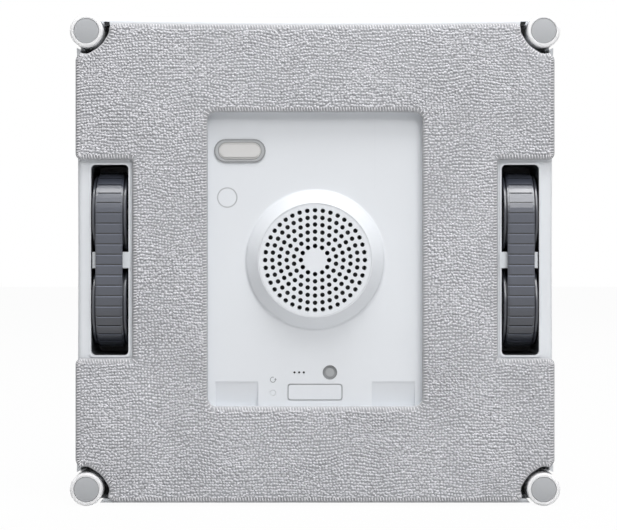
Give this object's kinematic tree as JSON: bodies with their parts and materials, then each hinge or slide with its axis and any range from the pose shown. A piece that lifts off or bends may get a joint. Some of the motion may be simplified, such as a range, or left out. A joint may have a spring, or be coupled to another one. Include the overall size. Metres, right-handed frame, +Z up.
{
  "type": "window cleaning robot",
  "caption": "Square window cleaning robot with a suction fan behind a round grille, two belt tracks, corner guide rollers, a microfibre pad and a carrying handle on its back.",
  "frame": {"origin": "where the fan's axis meets the plane of the wiping face", "axes": "-Y faces the glass, +Z is up, +X is to the right as seen from the glass side"},
  "size_m": [0.236, 0.0748, 0.2366],
  "materials": {
    "shell_white": "moulded satin plastic",
    "grille_white": "moulded satin plastic",
    "pad_fabric": "looped microfibre",
    "hook_tape": "hook tape",
    "roller_white": "smooth soft-touch plastic",
    "cap_grey": "matt",
    "belt_rubber": "matt rubber",
    "wheel_dark": "satin",
    "tray_dark": "matt",
    "pale_plastic": "satin",
    "gear_nylon": "satin nylon",
    "fan_black": "matt",
    "gasket_foam": "foam",
    "motor_steel": "drawn steel",
    "pin_steel": "ground steel",
    "bush_brass": "turned brass",
    "bezel_grey": "matt",
    "key_grey": "matt",
    "board_green": "solder mask",
    "battery_wrap": "shrink wrap",
    "ring_light": "frosted"
  },
  "bodies": {
    "chassis": {"base_shell": "shell_white", "top_cover": "shell_white", "cleaning_pad": "pad_fabric", "hook_strips": "hook_tape", "suction_hub": "shell_white", "grille_plate": "grille_white", "hub_gasket": "gasket_foam", "fan_housing": "fan_black", "fan_motor": "motor_steel", "roller_mounts": "tray_dark", "roller_pins": "pin_steel", "left_belt": "belt_rubber", "right_belt": "belt_rubber", "left_track_tray": "tray_dark", "right_track_tray": "tray_dark", "track_bridges": "pale_plastic", "axle_bushes": "bush_brass", "idler_axles": "pin_steel", "gear_brackets": "motor_steel", "drive_motors": "motor_steel", "switch_bezel": "bezel_grey", "sensor_lens": "cap_grey", "flush_plug": "shell_white", "port_cover": "shell_white", "main_board": "board_green", "buzzer": "fan_black", "battery_pack": "battery_wrap", "light_ring": "ring_light", "button_board": "board_green", "exhaust_grille": "pale_plastic", "handle": "pale_plastic", "power_inlet": "fan_black", "rope_eyelet": "pin_steel", "case_screws": "pin_steel"},
    "top_left_roller": {"top_left_roller": "roller_white", "top_left_roller_cap": "cap_grey"},
    "top_right_roller": {"top_right_roller": "roller_white", "top_right_roller_cap": "cap_grey"},
    "bottom_left_roller": {"bottom_left_roller": "roller_white", "bottom_left_roller_cap": "cap_grey"},
    "bottom_right_roller": {"bottom_right_roller": "roller_white", "bottom_right_roller_cap": "cap_grey"},
    "left_drive": {"left_drive_wheel": "wheel_dark", "left_drive_axle": "pin_steel", "left_drive_gear": "gear_nylon"},
    "left_idler": {"left_idler_wheel": "wheel_dark"},
    "left_intermediate": {"left_intermediate_gear": "gear_nylon"},
    "left_pinion": {"left_motor_pinion": "bush_brass"},
    "right_drive": {"right_drive_wheel": "wheel_dark", "right_drive_axle": "pin_steel", "right_drive_gear": "gear_nylon"},
    "right_idler": {"right_idler_wheel": "wheel_dark"},
    "right_intermediate": {"right_intermediate_gear": "gear_nylon"},
    "right_pinion": {"right_motor_pinion": "bush_brass"},
    "fan_rotor": {"impeller": "gear_nylon", "fan_shaft": "pin_steel"},
    "power_key": {"power_key": "key_grey"},
    "reset_button": {"reset_button": "pale_plastic"},
    "start_button": {"start_button": "cap_grey"}
  },
  "joints": [
    {"name": "top_left_roller_spin", "type": "hinge", "parent": "chassis", "child": "top_left_roller", "pos_m": [-0.11, 0.01, 0.1103], "axis": [0, 1, 0], "continuous": true},
    {"name": "top_right_roller_spin", "type": "hinge", "parent": "chassis", "child": "top_right_roller", "pos_m": [0.11, 0.01, 0.1103], "axis": [0, 1, 0], "continuous": true},
    {"name": "bottom_left_roller_spin", "type": "hinge", "parent": "chassis", "child": "bottom_left_roller", "pos_m": [-0.11, 0.01, -0.1103], "axis": [0, 1, 0], "continuous": true},
    {"name": "bottom_right_roller_spin", "type": "hinge", "parent": "chassis", "child": "bottom_right_roller", "pos_m": [0.11, 0.01, -0.1103], "axis": [0, 1, 0], "continuous": true},
    {"name": "left_drive_spin", "type": "hinge", "parent": "chassis", "child": "left_drive", "pos_m": [-0.099, 0.02, 0.022], "axis": [1, 0, 0], "continuous": true},
    {"name": "left_idler_spin", "type": "hinge", "parent": "chassis", "child": "left_idler", "pos_m": [-0.099, 0.02, -0.022], "axis": [1, 0, 0], "continuous": true},
    {"name": "left_intermediate_spin", "type": "hinge", "parent": "chassis", "child": "left_intermediate", "pos_m": [-0.099, 0.0284, 0.00745], "axis": [1, 0, 0], "continuous": true},
    {"name": "left_pinion_spin", "type": "hinge", "parent": "chassis", "child": "left_pinion", "pos_m": [-0.099, 0.0284, -0.01175], "axis": [1, 0, 0], "continuous": true},
    {"name": "right_drive_spin", "type": "hinge", "parent": "chassis", "child": "right_drive", "pos_m": [0.099, 0.02, 0.022], "axis": [1, 0, 0], "continuous": true},
    {"name": "right_idler_spin", "type": "hinge", "parent": "chassis", "child": "right_idler", "pos_m": [0.099, 0.02, -0.022], "axis": [1, 0, 0], "continuous": true},
    {"name": "right_intermediate_spin", "type": "hinge", "parent": "chassis", "child": "right_intermediate", "pos_m": [0.099, 0.0284, 0.00745], "axis": [1, 0, 0], "continuous": true},
    {"name": "right_pinion_spin", "type": "hinge", "parent": "chassis", "child": "right_pinion", "pos_m": [0.099, 0.0284, -0.01175], "axis": [1, 0, 0], "continuous": true},
    {"name": "fan_spin", "type": "hinge", "parent": "chassis", "child": "fan_rotor", "pos_m": [0, 0.02, 0], "axis": [0, 1, 0], "continuous": true},
    {"name": "power_key_press", "type": "slide", "parent": "chassis", "child": "power_key", "axis": [0, 1, 0], "range_m": [0, 0.0012], "stiffness_N_per_m": 600, "springref_m": -0.0005},
    {"name": "reset_button_press", "type": "slide", "parent": "chassis", "child": "reset_button", "axis": [0, 1, 0], "range_m": [0, 0.0007], "stiffness_N_per_m": 400, "springref_m": -0.0005},
    {"name": "start_button_press", "type": "slide", "parent": "chassis", "child": "start_button", "axis": [0, -1, 0], "range_m": [0, 0.001], "stiffness_N_per_m": 500, "springref_m": -0.0005}
  ],
  "couplings": [
    {"joint": "left_idler_spin", "follows": "left_drive_spin", "ratio": 1},
    {"joint": "left_intermediate_spin", "follows": "left_drive_spin", "ratio": -2.5},
    {"joint": "left_pinion_spin", "follows": "left_drive_spin", "ratio": 7.5},
    {"joint": "right_idler_spin", "follows": "right_drive_spin", "ratio": 1},
    {"joint": "right_intermediate_spin", "follows": "right_drive_spin", "ratio": -2.5},
    {"joint": "right_pinion_spin", "follows": "right_drive_spin", "ratio": 7.5}
  ]
}
